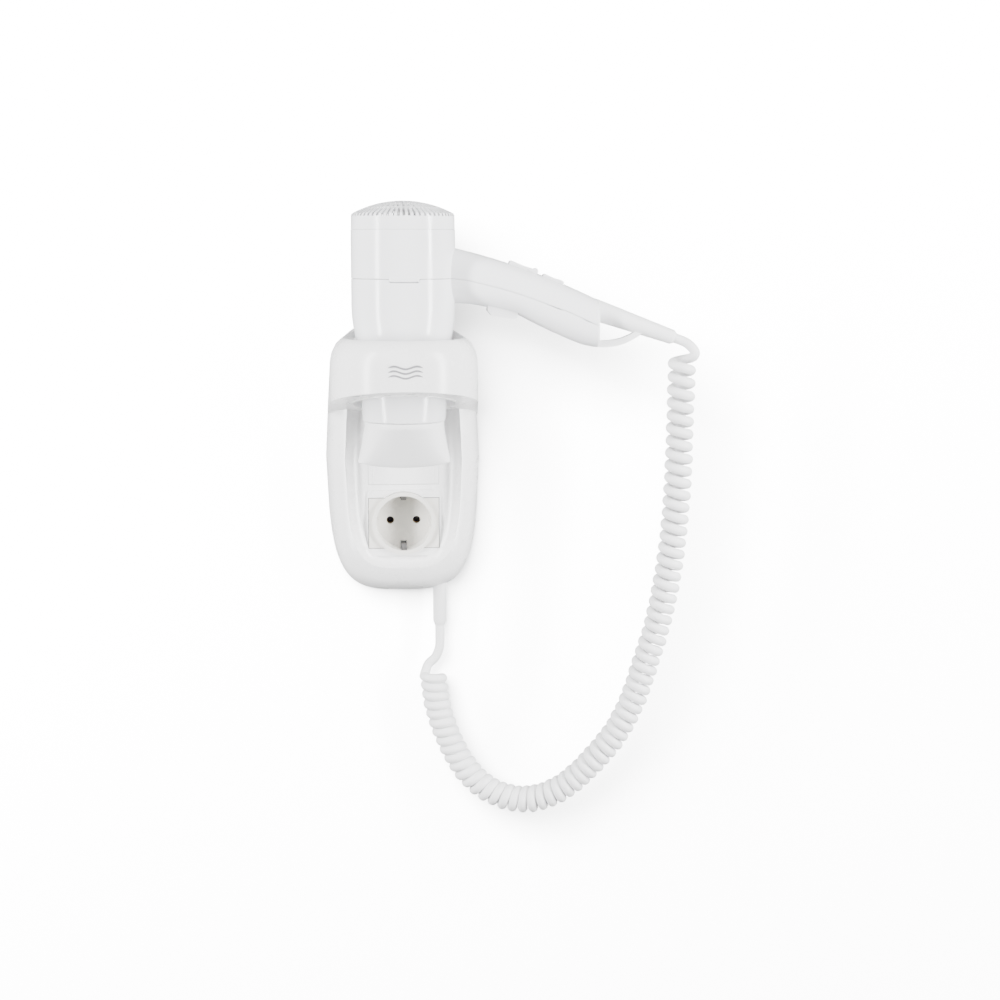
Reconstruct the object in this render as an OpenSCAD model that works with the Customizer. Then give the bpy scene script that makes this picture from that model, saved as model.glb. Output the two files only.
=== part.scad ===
// Hair dryer that hangs in a wall holder with a built-in socket, on a curly cord.
// Millimetres. The origin is the middle of the holder's back face, on the wall.
// +Z is up, +X is to the right as seen from the room, and the room is towards -Y.

/* [Wall holder] */
// Width of the holder against the wall
holder_w = 111; // [100:1:134]
// Height of the holder against the wall
holder_h = 196; // [185:1:236]
// How far the rim of the dish stands off the wall
rim_depth = 34; // [32:0.5:41]
// How far the flat panel in the dish stands off the wall
panel_depth = 27; // [26:0.5:29]
// Wall thickness of the holder's housing
holder_wall = 2.5; // [1.8:0.1:3]
// Height of the ring's top edge above the middle of the holder
ring_top = 88; // [84:1:96]
// Height of the socket's centre above the holder's lowest edge
socket_rise = 52.4; // [50:0.2:60]
// Distance between the centres of the wall screws, across
screw_span_x = 70; // [60:1:76]
// Distance between the centres of the wall screws, up and down
screw_span_z = 140; // [130:1:146]
// Diameter of the wall screw holes
wall_hole_d = 5; // [4:0.1:6]

/* [Socket] */
// Width of the socket module
module_w = 50; // [48:0.5:54]
// Height of the socket module
module_h = 35.8; // [34:0.2:38]
// Diameter of the recess that takes the plug
recess_d = 39.4; // [38.6:0.1:40.2]
// Depth of the recess below the collar
recess_depth = 17.5; // [16:0.1:17.6]
// Diameter of the collar around the recess
collar_d = 45; // [43:0.5:47]
// Distance between the two pin holes
pin_pitch = 19; // [18:0.1:20]
// Diameter of the pin holes
pin_hole_d = 5.5; // [5:0.1:6]

/* [Dryer barrel] */
// Outer diameter of the barrel
barrel_d = 71; // [66:0.5:86]
// Outer diameter of the outlet end
outlet_d = 56.8; // [52:0.2:60]
// Height from the outlet end to the seam between the two housings
lower_len = 97.3; // [92:0.1:120]
// Height from that seam to the intake cap
upper_len = 33; // [30:0.5:45]
// Height of the straight side of the intake cap
cap_side = 10.5; // [8:0.5:14]
// Height of the cap's dome
cap_dome = 9; // [6:0.5:12]
// Wall thickness of the dryer's housings
shell = 2.2; // [1.8:0.1:2.6]
// How far the outlet end hangs below the ring's top edge
hang_depth = 56.5; // [50:0.5:60]

/* [Nozzle] */
// Width of the concentrator's mouth
mouth_w = 66; // [58:0.5:68]
// Thickness of the concentrator's mouth, outside
mouth_t = 15; // [12:0.5:20]
// Height of the concentrator, without the arch of its lip
nozzle_len = 28; // [24:0.5:34]
// How far the lip is arched in the middle
lip_arch = 4; // [2:0.2:6]

/* [Handle] */
// Length of the handle from the barrel's axis to its end face
handle_reach = 134; // [131:1:161]
// Width of the handle, front to back
handle_w = 31; // [29:0.5:37]
// Length of the strain relief outside the handle
relief_len = 57; // [50:1:68]
// How far the trigger travels
trigger_travel = 2.5; // [1.5:0.1:3]
// Tilt of each rocker to each side, in degrees
rocker_tilt = 5; // [3:0.5:6]

/* [Cord] */
// Diameter of the cord
cord_d = 6.8; // [6:0.1:7.4]
// Outer diameter of the curly part
curl_d = 19.8; // [18:0.2:22]

/* [Hidden] */
$fn = 96;
eps = 0.02;
fit_gap = 0.25;
run_gap = 0.06;

white = [0.95, 0.95, 0.96];
warm_white = [0.90, 0.89, 0.86];
cord_white = [0.93, 0.93, 0.93];
dark = [0.16, 0.16, 0.17];
steel = [0.72, 0.73, 0.75];
brass = [0.78, 0.64, 0.34];
mica = [0.70, 0.62, 0.48];

// ---- derived sizes: dryer ----
barrel_r = barrel_d / 2;
outlet_r = outlet_d / 2;
shoulder_h = lower_len - 18.8;
outlet_z = ring_top - hang_depth;
seam_z = outlet_z + lower_len;
cap_z = seam_z + upper_len;
nozzle_top = outlet_z - 0.3;
nozzle_floor = nozzle_top - nozzle_len;
nozzle_r = sqrt(pow(mouth_w / 2, 2) + pow(mouth_t / 2 - 3.5, 2));
axis_y = -(panel_depth + nozzle_r + 2.3);

// ---- derived sizes: holder ----
half_w = holder_w / 2;
half_h = holder_h / 2;
rim_half_w = half_w - 14;
rim_half_h = half_h - 20.5;
socket_z = -half_h + socket_rise;
liner_wall = 1.6;
hole_top_r = barrel_r + 4.4;
hole_low_r = nozzle_r + 2;
rib_r = max(nozzle_r + 0.4, barrel_r - 1.9);
ring_r = hole_top_r + 11.2;
ring_front = axis_y - ring_r;
ring_face = 33;
under_slope = 0.23;
ring_low = ring_top - ring_face;
boss_front = panel_depth + 1.2;
boss_h = 47.4;
module_front = boss_front + 0.5;
collar_front = module_front + 2.2;
cup_floor = collar_front - recess_depth;
cup_base = 4;
plate_t = 2.5;
cover_w = 50;
cover_low = socket_z + boss_h / 2 + 4.2;
cover_high = cover_low + 47;
cover_recess = 1.6;
fix_x = 19;
fix_z = [cover_low + 9, cover_high - 9];
fix_boss = 7;
relief_x = 26;
relief_y = -12;
relief_r = 4.8;
// The sleeve's inner end keeps its share of the height, clear of the rounded corner
relief_top = -half_h * 85 / 98;
relief_end = relief_top - 38.4;

// ---- derived sizes: handle ----
handle_y = axis_y;
handle_half = handle_w / 2;
// The handle's side view is drawn for a handle of this reach and stretched to the real one
root_x = 37;
drawn_reach = 134;
function along(x) = root_x + (x - root_x) * (drawn_reach - root_x) / (handle_reach - root_x);
// Height of the handle's upper edge, at a distance from the barrel's axis
function top_edge(x) =
    let (run = along(x) - root_x)
    seam_z + 20.1 - 0.235 * run - 0.0013 * run * run;
// The handle's lower edge and its parting line: distance from the axis, height over the seam
low_points = [
    [26, -16.2], [46, -17.6], [57, -19.6], [78, -24.8], [86, -28.8], [94, -32.8],
    [102, -36.6], [116, -42.8], [126, -46.2], [161, -52]
];
split_points = [
    [34, 0], [45, -1.6], [61, -5.4], [79, -10.6], [95, -16.4], [111, -22.2],
    [128, -29.8], [161, -45]
];
function low_edge(x) = seam_z + lookup(along(x), low_points);
function split_edge(x) = seam_z + lookup(along(x), split_points);
stations = [for (x = [26, 32, 39, 46, 57, 67, 78, 86, 94, 102, 110, 118, 126]) if (x < handle_reach - 7.5) x];
section_n = 28;
end_wall = 3;
handle_screw_x = handle_reach - 19.5;
switch_x = 92;
// The keys lie along the handle's back, a touch flatter than it
switch_tilt = atan((top_edge(switch_x - 10) - top_edge(switch_x + 10)) / 20) - 0.7;
switch_z = top_edge(switch_x);
air_rise = 2.2;
heat_rise = 1.5;
air_pos = -10.6;
air_half = 10.4;
heat_pos = 11.4;
heat_half = 7.6;
rocker_half_w = 5.6;
// Room at each end of a rocker for the swing of its corners
rocker_slack = air_half * sin(rocker_tilt) + 0.3;
rocker_pivot = -7.2;
rocker_pin_r = 1.5;
channel_in = 6.9;
channel_out = 8.1;
trig_x0 = 57.4;
trig_x1 = 78.2;
trig_half_w = 8;
trig_pin_x = 66;
trig_pin_r = 1.5;
// The relief's axis, from the handle's end face to its tip
tail_x = handle_reach;
tail_z = low_edge(handle_reach) + 25.2;
tail_tilt = 19.4;
tail_r = 7.4;
tip_r = 5.1;
tip = [
    tail_x + relief_len * cos(tail_tilt), handle_y, tail_z - relief_len * sin(tail_tilt)
];

// ---- derived sizes: inside the barrel ----
motor_r = 14;
fan_r = barrel_r - shell - 2.8;
duct_low = outlet_z + 81;
duct_top = seam_z + 27;
fan_z = duct_top - 14;
fan_h = 11;
motor_low = duct_low;
motor_h = fan_z - motor_low - 3;
shaft_r = 1.5;
grille_z = outlet_z + 1.5;
heat_low = outlet_z + 7;
heat_top = outlet_z + 68;
sleeve_r = outlet_r - shell - 0.6;
spigot_r = 24.6;

// ---- helpers ----
// The outline's roundness at the sides and ends, and how much narrower the ends are
side_fullness = 0.556;
end_fullness = 0.4;
end_narrowing = 0.106;
// Rounded outline with straight-ish sides and full corners, narrowing towards both ends
function outline(a, b) = [
    for (i = [0 : 71])
        let (c = cos(i * 5), s = sin(i * 5))
        let (z = b * sign(s) * pow(abs(s), end_fullness))
        [a * sign(c) * pow(abs(c), side_fullness) * (1 - end_narrowing * pow(abs(z) / b, 1.3)), z]
];

// Flat slab in the XZ plane: its wall-side face is at the given depth
module slab(points, depth, t = eps)
    translate([0, -depth, 0]) rotate([90, 0, 0]) linear_extrude(t) polygon(points);

// Round rod along -Y, from one depth to another
module rod_y(x, z, r, d0, d1, fn = 48)
    translate([x, -d0, z]) rotate([90, 0, 0]) cylinder(h = d1 - d0, r = r, $fn = fn);

module block_y(x, z, w, h, d0, d1)
    translate([x - w / 2, -d1, z - h / 2]) cube([w, d1 - d0, h]);

module rounded_rect(w, h, r) {
    square([w - 2 * r, h], center = true);
    square([w, h - 2 * r], center = true);
    for (x = [-1, 1], y = [-1, 1])
        translate([x * (w / 2 - r), y * (h / 2 - r)]) circle(r, $fn = 32);
}

// Solid whose side view is given in X and Z, centred on the handle's plane
module side_view(points, width)
    translate([0, handle_y + width / 2, 0]) rotate([90, 0, 0]) linear_extrude(width) polygon(points);

module on_axis() translate([0, axis_y, 0]) children();

module tube(r_out, r_in, z0, z1) difference() {
    translate([0, 0, z0]) cylinder(h = z1 - z0, r = r_out);
    translate([0, 0, z0 - 1]) cylinder(h = z1 - z0 + 2, r = r_in);
}

// ---- wall holder ----
function rim_inset(depth) = 1 - sqrt(max(0, 1 - pow(min(depth, rim_depth) / rim_depth, 2)));

module dish_body(skin) hull()
    for (k = [0, 0.3, 0.55, 0.75, 0.9, 1])
        let (depth = k * (rim_depth - skin), s = rim_inset(k * rim_depth))
        slab(outline(half_w - skin - 14 * s, half_h - skin - 20.5 * s), depth);

// The hollow of the dish, grown outwards by a skin
module dish_hollow(skin) hull() {
    slab(outline(rim_half_w + skin, rim_half_h + skin), rim_depth - skin, 1.5 * skin + 1);
    slab(outline(rim_half_w - 9 + skin, rim_half_h - 5.5 + skin), panel_depth - skin);
}

module ring_body(skin) hull() {
    for (k = [0, 0.55])
        intersection() {
            slab(outline(half_w - skin - 14 * rim_inset(k * rim_depth), half_h - skin), k * rim_depth);
            translate([0, 0, 500 + 20]) cube(1000, center = true);
        }
    on_axis() translate([0, 0, 20]) cylinder(h = ring_top - 24 - 20, r = ring_r - skin);
    for (k = [[15, 0.4], [9, 1.7], [3, 4.8]])
        on_axis() translate([0, 0, ring_top - k[0] - skin]) cylinder(h = eps, r = ring_r - k[1] - skin);
    on_axis() translate([0, 0, ring_top - skin - eps]) cylinder(h = eps, r = hole_top_r + 3.2);
}

// Everything above the ring's sloping underside
module above_underside(lift) translate([-200, 0, 0]) rotate([90, 0, 90]) linear_extrude(400)
    polygon([
        [ring_front - 10, ring_low + 10 * under_slope + lift],
        [0, ring_low + ring_front * under_slope + lift],
        [0, 400], [ring_front - 10, 400]
    ]);

module funnel(grow) on_axis() {
    translate([0, 0, 10]) cylinder(h = ring_low - 10, r = hole_low_r + grow);
    translate([0, 0, ring_low - eps])
        cylinder(h = ring_top - ring_low + 2 * eps, r1 = hole_low_r + grow, r2 = hole_top_r + grow);
    translate([0, 0, ring_top]) cylinder(h = 60, r = hole_top_r + grow);
}

module holder_housing() color(white) difference() {
    union() {
        difference() {
            dish_body(0);
            dish_hollow(0);
        }
        intersection() {
            ring_body(0);
            above_underside(0);
        }
        translate([0, -panel_depth + holder_wall, socket_z]) rotate([90, 0, 0])
            linear_extrude(boss_front - panel_depth + holder_wall) rounded_rect(51, boss_h, 4.5);
        for (x = [-fix_x, fix_x], z = fix_z)
            rod_y(x, z, 5.5, panel_depth - fix_boss, panel_depth - 0.5);
    }
    difference() {
        union() {
            difference() {
                dish_body(holder_wall);
                dish_hollow(holder_wall);
            }
            intersection() {
                ring_body(holder_wall);
                above_underside(holder_wall);
            }
        }
        funnel(liner_wall + holder_wall);
        translate([0, -panel_depth + holder_wall, socket_z]) rotate([90, 0, 0])
            linear_extrude(10) rounded_rect(51, boss_h, 4.5);
        for (x = [-fix_x, fix_x], z = fix_z)
            rod_y(x, z, 5.5, panel_depth - fix_boss, panel_depth);
    }
    funnel(liner_wall);
    block_y(0, socket_z, module_w + 2 * fit_gap, module_h + 2 * fit_gap, 5, 60);
    rod_y(0, socket_z, collar_d / 2 + fit_gap, 5, 60, 96);
    block_y(0, (cover_low + cover_high) / 2, cover_w + 2 * fit_gap, cover_high - cover_low + 2 * fit_gap,
        panel_depth - cover_recess, 60);
    for (x = [-fix_x, fix_x], z = fix_z) {
        rod_y(x, z, 2.1, 5, 60, 32);
        rod_y(x, z, 3.9, panel_depth - cover_recess - 3.2, 60, 32);
    }
    translate([relief_x, relief_y, -half_h - 20]) cylinder(h = 34, r = relief_r + fit_gap, $fn = 48);
    translate([0, 50, 0]) cube([400, 100, 400], center = true);
}

module wall_plate() color(white) difference() {
    union() {
        slab(outline(half_w - holder_wall - 0.5, half_h - holder_wall - 0.5), 0, plate_t);
        for (x = [-fix_x, fix_x], z = fix_z)
            rod_y(x, z, 4.2, plate_t - eps, panel_depth - fix_boss);
    }
    for (x = [-screw_span_x / 2, screw_span_x / 2], z = [-screw_span_z / 2, screw_span_z / 2])
        rod_y(x, z, wall_hole_d / 2, -1, plate_t + 1);
    for (x = [-fix_x, fix_x], z = fix_z)
        rod_y(x, z, 1.6, 8, 60, 32);
    rod_y(0, fix_z[1] + 16, 9, -1, plate_t + 1);
}

module housing_screws() color(steel)
    for (x = [-fix_x, fix_x], z = fix_z) {
        rod_y(x, z, 1.6, 9, panel_depth - cover_recess - 3.2, 32);
        difference() {
            rod_y(x, z, 3.4, panel_depth - cover_recess - 3.2, panel_depth - cover_recess - 0.9, 32);
            block_y(x, z, 5.4, 0.9, panel_depth - cover_recess - 1.8, panel_depth);
            block_y(x, z, 0.9, 5.4, panel_depth - cover_recess - 1.8, panel_depth);
        }
    }

// Soft-looking insert in the ring, with upright ribs that centre the dryer
module cradle_liner() color(white) intersection() {
    difference() {
        union() {
            difference() {
                funnel(liner_wall);
                funnel(0);
            }
            on_axis() for (a = [30 : 60 : 330])
                rotate([0, 0, a]) translate([rib_r, -1.5, ring_low + 12])
                    cube([hole_top_r + 0.8 - rib_r, 3, ring_top - 0.5 - ring_low - 12]);
        }
        translate([0, 0, 500 + ring_top]) cube(1000, center = true);
    }
    above_underside(-0.6);
    funnel(liner_wall);
}

module blank_cover() color(white) {
    block_y(0, (cover_low + cover_high) / 2, cover_w, cover_high - cover_low,
        panel_depth - cover_recess, panel_depth + 0.2);
    block_y(0, (cover_low + cover_high) / 2, cover_w - 7, cover_high - cover_low,
        panel_depth, panel_depth + 0.7);
}

// ---- socket ----
module socket_face() color(warm_white) difference() {
    union() {
        block_y(0, socket_z, module_w, module_h, panel_depth - holder_wall - 1, module_front);
        block_y(0, socket_z, module_w + 4, module_h + 4,
            panel_depth - holder_wall - 2.6, panel_depth - holder_wall);
        rod_y(0, socket_z, collar_d / 2, cup_floor - cup_base, collar_front, 96);
        for (x = [-1, 1])
            block_y(x * 22, socket_z, 6, 10, cup_floor - cup_base, panel_depth - holder_wall - 1);
    }
    difference() {
        rod_y(0, socket_z, recess_d / 2, cup_floor, collar_front + 1, 96);
        for (x = [-1, 1])
            block_y(x * recess_d / 2, socket_z, 3.2, 5, cup_floor - 1, collar_front - 3);
    }
    for (x = [-pin_pitch / 2, pin_pitch / 2])
        rod_y(x, socket_z, pin_hole_d / 2, 0, cup_floor + 1, 48);
    for (z = [-1, 1])
        block_y(0, socket_z + z * (recess_d / 2 - 1.1), 4.6, 7, 0, collar_front - 2.4);
}

module socket_base() color(dark) difference() {
    block_y(0, socket_z, 46, 34, plate_t, cup_floor - cup_base);
    for (x = [-pin_pitch / 2, pin_pitch / 2])
        rod_y(x, socket_z, 3.7, plate_t + 1, cup_floor + 1, 48);
    block_y(0, socket_z, 4.6, 40, plate_t + 2.4, cup_floor);
}

module contact_sleeves() color(brass)
    for (x = [-pin_pitch / 2, pin_pitch / 2])
        difference() {
            rod_y(x, socket_z, 3.7, plate_t + 1, cup_floor - cup_base, 48);
            rod_y(x, socket_z, 2.45, plate_t, cup_floor, 48);
        }

// Strip behind the cup, with two tongues that come forward into the recess
module earth_clip() color(steel) {
    block_y(0, socket_z, 3.8, recess_d + 0.6, plate_t + 2.4, plate_t + 3.2);
    for (m = [0, 1])
        translate([-1.9, 0, socket_z]) mirror([0, 0, m]) rotate([90, 0, 90]) linear_extrude(3.8)
            polygon([
                [-plate_t - 2.4, recess_d / 2 + 0.3], [-plate_t - 2.4, recess_d / 2 - 0.5],
                [-cup_floor - 3, recess_d / 2 - 0.5], [-cup_floor - 7, recess_d / 2 - 4],
                [-cup_floor - 9, recess_d / 2 - 4], [-cup_floor - 13, recess_d / 2 - 0.3],
                [-cup_floor - 13, recess_d / 2 + 0.5], [-cup_floor - 9, recess_d / 2 - 3.1],
                [-cup_floor - 7, recess_d / 2 - 3.1], [-cup_floor - 3, recess_d / 2 + 0.3]
            ]);
}

module terminal_block() color(dark) difference() {
    block_y(0, fix_z[1] - 1, 27, 12, plate_t, plate_t + 11);
    for (x = [-8.5, 0, 8.5]) {
        rod_y(x, fix_z[1] - 1, 2, plate_t + 3, plate_t + 12, 32);
        translate([x, -plate_t - 4.5, fix_z[1] - 20]) cylinder(h = 60, r = 1.6, $fn = 32);
    }
}

module terminal_screws() color(steel)
    for (x = [-8.5, 0, 8.5])
        difference() {
            rod_y(x, fix_z[1] - 1, 2, plate_t + 6.2, plate_t + 9.5, 32);
            block_y(x, fix_z[1] - 1, 3.2, 0.7, plate_t + 8.5, plate_t + 10);
        }

clamp_z = relief_top + 9.6;
module holder_cord_clamp() color(white) difference() {
    block_y(relief_x, clamp_z, 20, 8, plate_t, -relief_y + 5);
    translate([relief_x, relief_y, clamp_z - 10]) cylinder(h = 20, r = cord_d / 2, $fn = 48);
    for (x = [-7, 7])
        rod_y(relief_x + x, clamp_z, 1.5, 4, 40, 32);
}

module holder_clamp_screws() color(steel)
    for (x = [-7, 7]) {
        rod_y(relief_x + x, clamp_z, 1.5, 5, -relief_y + 5, 32);
        rod_y(relief_x + x, clamp_z, 2.7, -relief_y + 5, -relief_y + 6.6, 32);
    }

module holder_relief() color(cord_white) translate([relief_x, relief_y, 0]) difference() {
    union() {
        translate([0, 0, relief_end + 3]) cylinder(h = relief_top - relief_end - 3, r = relief_r, $fn = 48);
        translate([0, 0, relief_end]) cylinder(h = 3, r1 = relief_r - 1.2, r2 = relief_r, $fn = 48);
        translate([0, 0, relief_top - 2.2]) cylinder(h = 2.2, r = 6.4, $fn = 48);
    }
    translate([0, 0, relief_end + 8]) cylinder(h = 70, r = cord_d / 2, $fn = 48);
}

// ---- dryer: barrel ----
function barrel_line(skin) = [
    [outlet_r - skin, 0], [outlet_r + 0.9 - skin, 15.5], [outlet_r + 3.6 - skin, 50.5],
    [barrel_r - 3 - skin, shoulder_h - 23], [barrel_r - 1.5 - skin, shoulder_h - 16.5],
    [barrel_r - 0.4 - skin, shoulder_h - 7], [barrel_r - skin, shoulder_h]
];

module barrel_form(skin, top) on_axis() translate([0, 0, outlet_z]) rotate_extrude()
    polygon(concat([[0, 0]], barrel_line(skin), [[barrel_r - skin, top], [0, top]]));

// Ring of points across the handle: rounded-rectangle section at one station
function section(x, skin) =
    let (hi = top_edge(x) - skin, lo = low_edge(x) + skin)
    let (mid = (hi + lo) / 2, hh = (hi - lo) / 2, hw = handle_half - skin)
    [
        for (i = [0 : section_n - 1])
            let (c = cos(i * 360 / section_n), s = sin(i * 360 / section_n))
            [x, handle_y + hw * sign(c) * pow(abs(c), 0.8), mid + hh * sign(s) * pow(abs(s), 0.8)]
    ];

// Skin through a list of rings with equal numbers of points
module loft(rings) {
    n = len(rings[0]);
    last = len(rings) - 1;
    polyhedron(
        points = [for (r = rings) for (p = r) p],
        faces = concat(
            [[for (i = [0 : n - 1]) i]],
            [
                for (k = [0 : last - 1]) for (i = [0 : n - 1])
                    let (j = (i + 1) % n)
                    [k * n + i, (k + 1) * n + i, (k + 1) * n + j]
            ],
            [
                for (k = [0 : last - 1]) for (i = [0 : n - 1])
                    let (j = (i + 1) % n)
                    [k * n + i, (k + 1) * n + j, k * n + j]
            ],
            [[for (i = [n - 1 : -1 : 0]) last * n + i]]
        ),
        convexity = 6
    );
}

module handle_form(skin, cut) loft([
    for (x = concat(stations, [handle_reach - 3.5 - cut, handle_reach - cut])) section(x, skin)
]);

// Side view of everything above the parting line, or below it
function above_split() = concat(
    [[-200, seam_z], [34, seam_z]],
    [for (x = [45, 61, 79, 95, 111, 128, handle_reach + 40]) [x, split_edge(x)]],
    [[handle_reach + 40, seam_z + 300], [-200, seam_z + 300]]
);

module handle_holes() {
    translate([tail_x, handle_y, tail_z]) rotate([0, 90 + tail_tilt, 0])
        translate([0, 0, -12]) cylinder(h = 30, r = tail_r + 0.2, $fn = 48);
    translate([handle_reach - 6, handle_y - 4, low_edge(handle_reach) - 0.8]) cube([30, 8, 6.4]);
}

module switch_frame() translate([switch_x, handle_y, switch_z]) rotate([0, switch_tilt, 0]) children();

module dryer_shell(inner_top) difference() {
    union() {
        barrel_form(0, lower_len + upper_len);
        handle_form(0, 0);
    }
    difference() {
        union() {
            barrel_form(shell, inner_top);
            handle_form(shell, end_wall);
        }
        on_axis() translate([0, 0, outlet_z - 1]) cylinder(h = 2.5, r = 60);
    }
    handle_holes();
    on_axis() translate([0, 0, outlet_z - 2]) cylinder(h = 10, r = spigot_r - 1.2);
}

module screw_post(x, r) translate([x, handle_y, 0])
    translate([0, 0, low_edge(x) + 1]) cylinder(h = top_edge(x) - low_edge(x) - 2, r = r, $fn = 32);

module rear_housing() color(white) difference() {
    intersection() {
        union() {
            dryer_shell(lower_len + upper_len + 1);
            screw_post(handle_screw_x, 3.6);
        }
        side_view(above_split(), 300);
    }
    translate([handle_screw_x, handle_y, low_edge(handle_screw_x) - 5]) cylinder(h = 29, r = 1.5, $fn = 32);
    switch_frame() {
        translate([air_pos - air_half - rocker_slack, -rocker_half_w - 0.4, -20])
            cube([2 * (air_half + rocker_slack), 2 * rocker_half_w + 0.8, 30]);
        translate([heat_pos - heat_half - rocker_slack, -rocker_half_w - 0.4, -20])
            cube([2 * (heat_half + rocker_slack), 2 * rocker_half_w + 0.8, 30]);
    }
}

module front_housing() color(white) difference() {
    union() {
        difference() {
            union() {
                dryer_shell(lower_len + upper_len + 1);
                screw_post(handle_screw_x, 3.6);
            }
            side_view(above_split(), 300);
        }
        on_axis() tube(spigot_r, spigot_r - 1.2, outlet_z - 5, outlet_z + 1);
    }
    translate([trig_x0 - 0.4, handle_y - trig_half_w - 0.3, low_edge(80) - 20])
        cube([trig_x1 - trig_x0 + 0.8, 2 * trig_half_w + 0.6, 20 + 14]);
    translate([handle_screw_x, handle_y, low_edge(handle_screw_x) - 5]) cylinder(h = 50, r = 1.7, $fn = 32);
    translate([handle_screw_x, handle_y, low_edge(handle_screw_x) - 5]) cylinder(h = 9, r = 3, $fn = 32);
    translate([-10, axis_y - barrel_r - 1, seam_z - 1.4]) cube([20, 2, 3]);
}

module handle_screws() color(steel) translate([handle_screw_x, handle_y, low_edge(handle_screw_x) + 4]) {
    cylinder(h = 19, r = 1.5, $fn = 32);
    difference() {
        translate([0, 0, -2]) cylinder(h = 2, r = 2.8, $fn = 32);
        translate([-2, -0.4, -3]) cube([4, 0.8, 2]);
        translate([-0.4, -2, -3]) cube([0.8, 4, 2]);
    }
}

// ---- dryer: intake end ----
dome_chord = barrel_r - 3;
dome_r = (pow(dome_chord, 2) + pow(cap_dome - 1.4, 2)) / (2 * (cap_dome - 1.4));
module cap_solid(skin) rotate_extrude() intersection() {
    polygon([
        [0, -1], [barrel_r - 0.2 - skin, -1], [barrel_r - 0.3 - skin, cap_side - 1],
        [barrel_r - 1.2 - skin, cap_side + 0.8], [dome_chord - skin, cap_side + 1.6],
        [dome_chord - 5, 40], [0, 40]
    ]);
    translate([0, cap_side + cap_dome - dome_r]) circle(dome_r - skin, $fn = 180);
    translate([0, -1]) square([200, 60]);
}

module slot_row(count, r0, r1, width)
    for (i = [0 : count - 1])
        rotate([0, 0, 360 * i / count]) translate([r0, -width / 2, cap_side - 1.6])
            cube([r1 - r0, width, 30]);

module intake_cap() color(white) on_axis() translate([0, 0, cap_z]) difference() {
    intersection() {
        cap_solid(0);
        translate([0, 0, 50]) cube([200, 200, 100], center = true);
    }
    difference() {
        cap_solid(2);
        translate([0, 0, cap_side - 3]) cylinder(h = 20, r = 6);
    }
    slot_row(60, barrel_r - 9.5, barrel_r + 5, 1.7);
    slot_row(40, barrel_r - 17, barrel_r - 11, 1.8);
    slot_row(20, barrel_r - 26, barrel_r - 18.5, 2);
}

module dust_filter() color(dark) on_axis() {
    tube(barrel_r - shell - 0.4, barrel_r - shell - 3, cap_z - 4, cap_z + 1);
    tube(barrel_r - 2.5, barrel_r - shell - 3, cap_z + 0.3, cap_z + 1.5);
    translate([0, 0, cap_z - 3]) cylinder(h = 1, r = barrel_r - shell - 2.9);
}

// ---- dryer: air path ----
module fan_duct() color(dark) on_axis() {
    tube(barrel_r - shell, fan_r + 0.9, duct_low, duct_top);
    tube(motor_r + 1.6, motor_r + 0.15, duct_low, duct_low + 12);
    for (a = [0 : 40 : 320])
        rotate([0, 0, a]) translate([motor_r + 1, -0.8, duct_low]) cube([fan_r + 0.4 - motor_r, 1.6, 12]);
}

module motor() color(steel) on_axis() difference() {
    union() {
        translate([0, 0, motor_low]) cylinder(h = motor_h, r = motor_r);
        translate([0, 0, motor_low + motor_h]) cylinder(h = 1.5, r = 5);
        translate([0, 0, motor_low - 2]) cylinder(h = 2, r = 5);
    }
    translate([0, 0, motor_low + 4]) cylinder(h = motor_h, r = shaft_r + run_gap, $fn = 48);
}

module motor_shaft() color(steel) on_axis()
    translate([0, 0, motor_low + 4.2]) cylinder(h = fan_z + fan_h - motor_low - 4.2, r = shaft_r, $fn = 48);

module fan_wheel() color(dark) on_axis() difference() {
    union() {
        translate([0, 0, fan_z]) cylinder(h = fan_h, r = 11);
        intersection() {
            for (a = [0 : 360 / 11 : 359])
                rotate([0, 0, a]) translate([9, 0, fan_z + fan_h / 2]) rotate([38, 0, 0])
                    translate([0, -0.7, -8]) cube([fan_r - 9, 1.4, 16]);
            translate([0, 0, fan_z + 0.5]) cylinder(h = fan_h - 1, r = fan_r);
        }
    }
    translate([0, 0, fan_z - 1]) cylinder(h = fan_h + 2, r = shaft_r, $fn = 48);
}

module heater_boards() color(mica) on_axis()
    for (a = [0, 90])
        rotate([0, 0, a]) translate([-sleeve_r + 3.6, -0.4, heat_low])
            cube([2 * sleeve_r - 7.2, 0.8, heat_top - heat_low]);

coil_n = 9;
module heating_coils() color(steel) on_axis()
    for (i = [0 : coil_n - 1])
        translate([0, 0, heat_low + 5 + i * (heat_top - heat_low - 10) / (coil_n - 1)])
            rotate_extrude() translate([sleeve_r - 2.4, 0]) circle(1.1, $fn = 24);

module mica_sleeve() color(mica) on_axis() tube(sleeve_r, sleeve_r - 0.8, heat_low - 1, heat_top);

module thermal_cutout() color(steel) on_axis()
    translate([0.4, 3, heat_top - 14]) cube([4, 8, 12]);

module outlet_grille() color(dark) on_axis() {
    tube(outlet_r - shell - 0.1, outlet_r - shell - 2, grille_z, heat_low - 1);
    for (r = [6, 12, 18])
        tube(r + 0.6, r - 0.6, grille_z, grille_z + 2.5);
    for (a = [0, 60, 120])
        rotate([0, 0, a]) translate([-outlet_r + shell + 1, -0.7, grille_z])
            cube([2 * (outlet_r - shell - 1), 1.4, 2.5]);
}

// ---- nozzle ----
module mouth_slab(w, t, z) translate([0, 0, z]) linear_extrude(eps) rounded_rect(w, t, 4);

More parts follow.
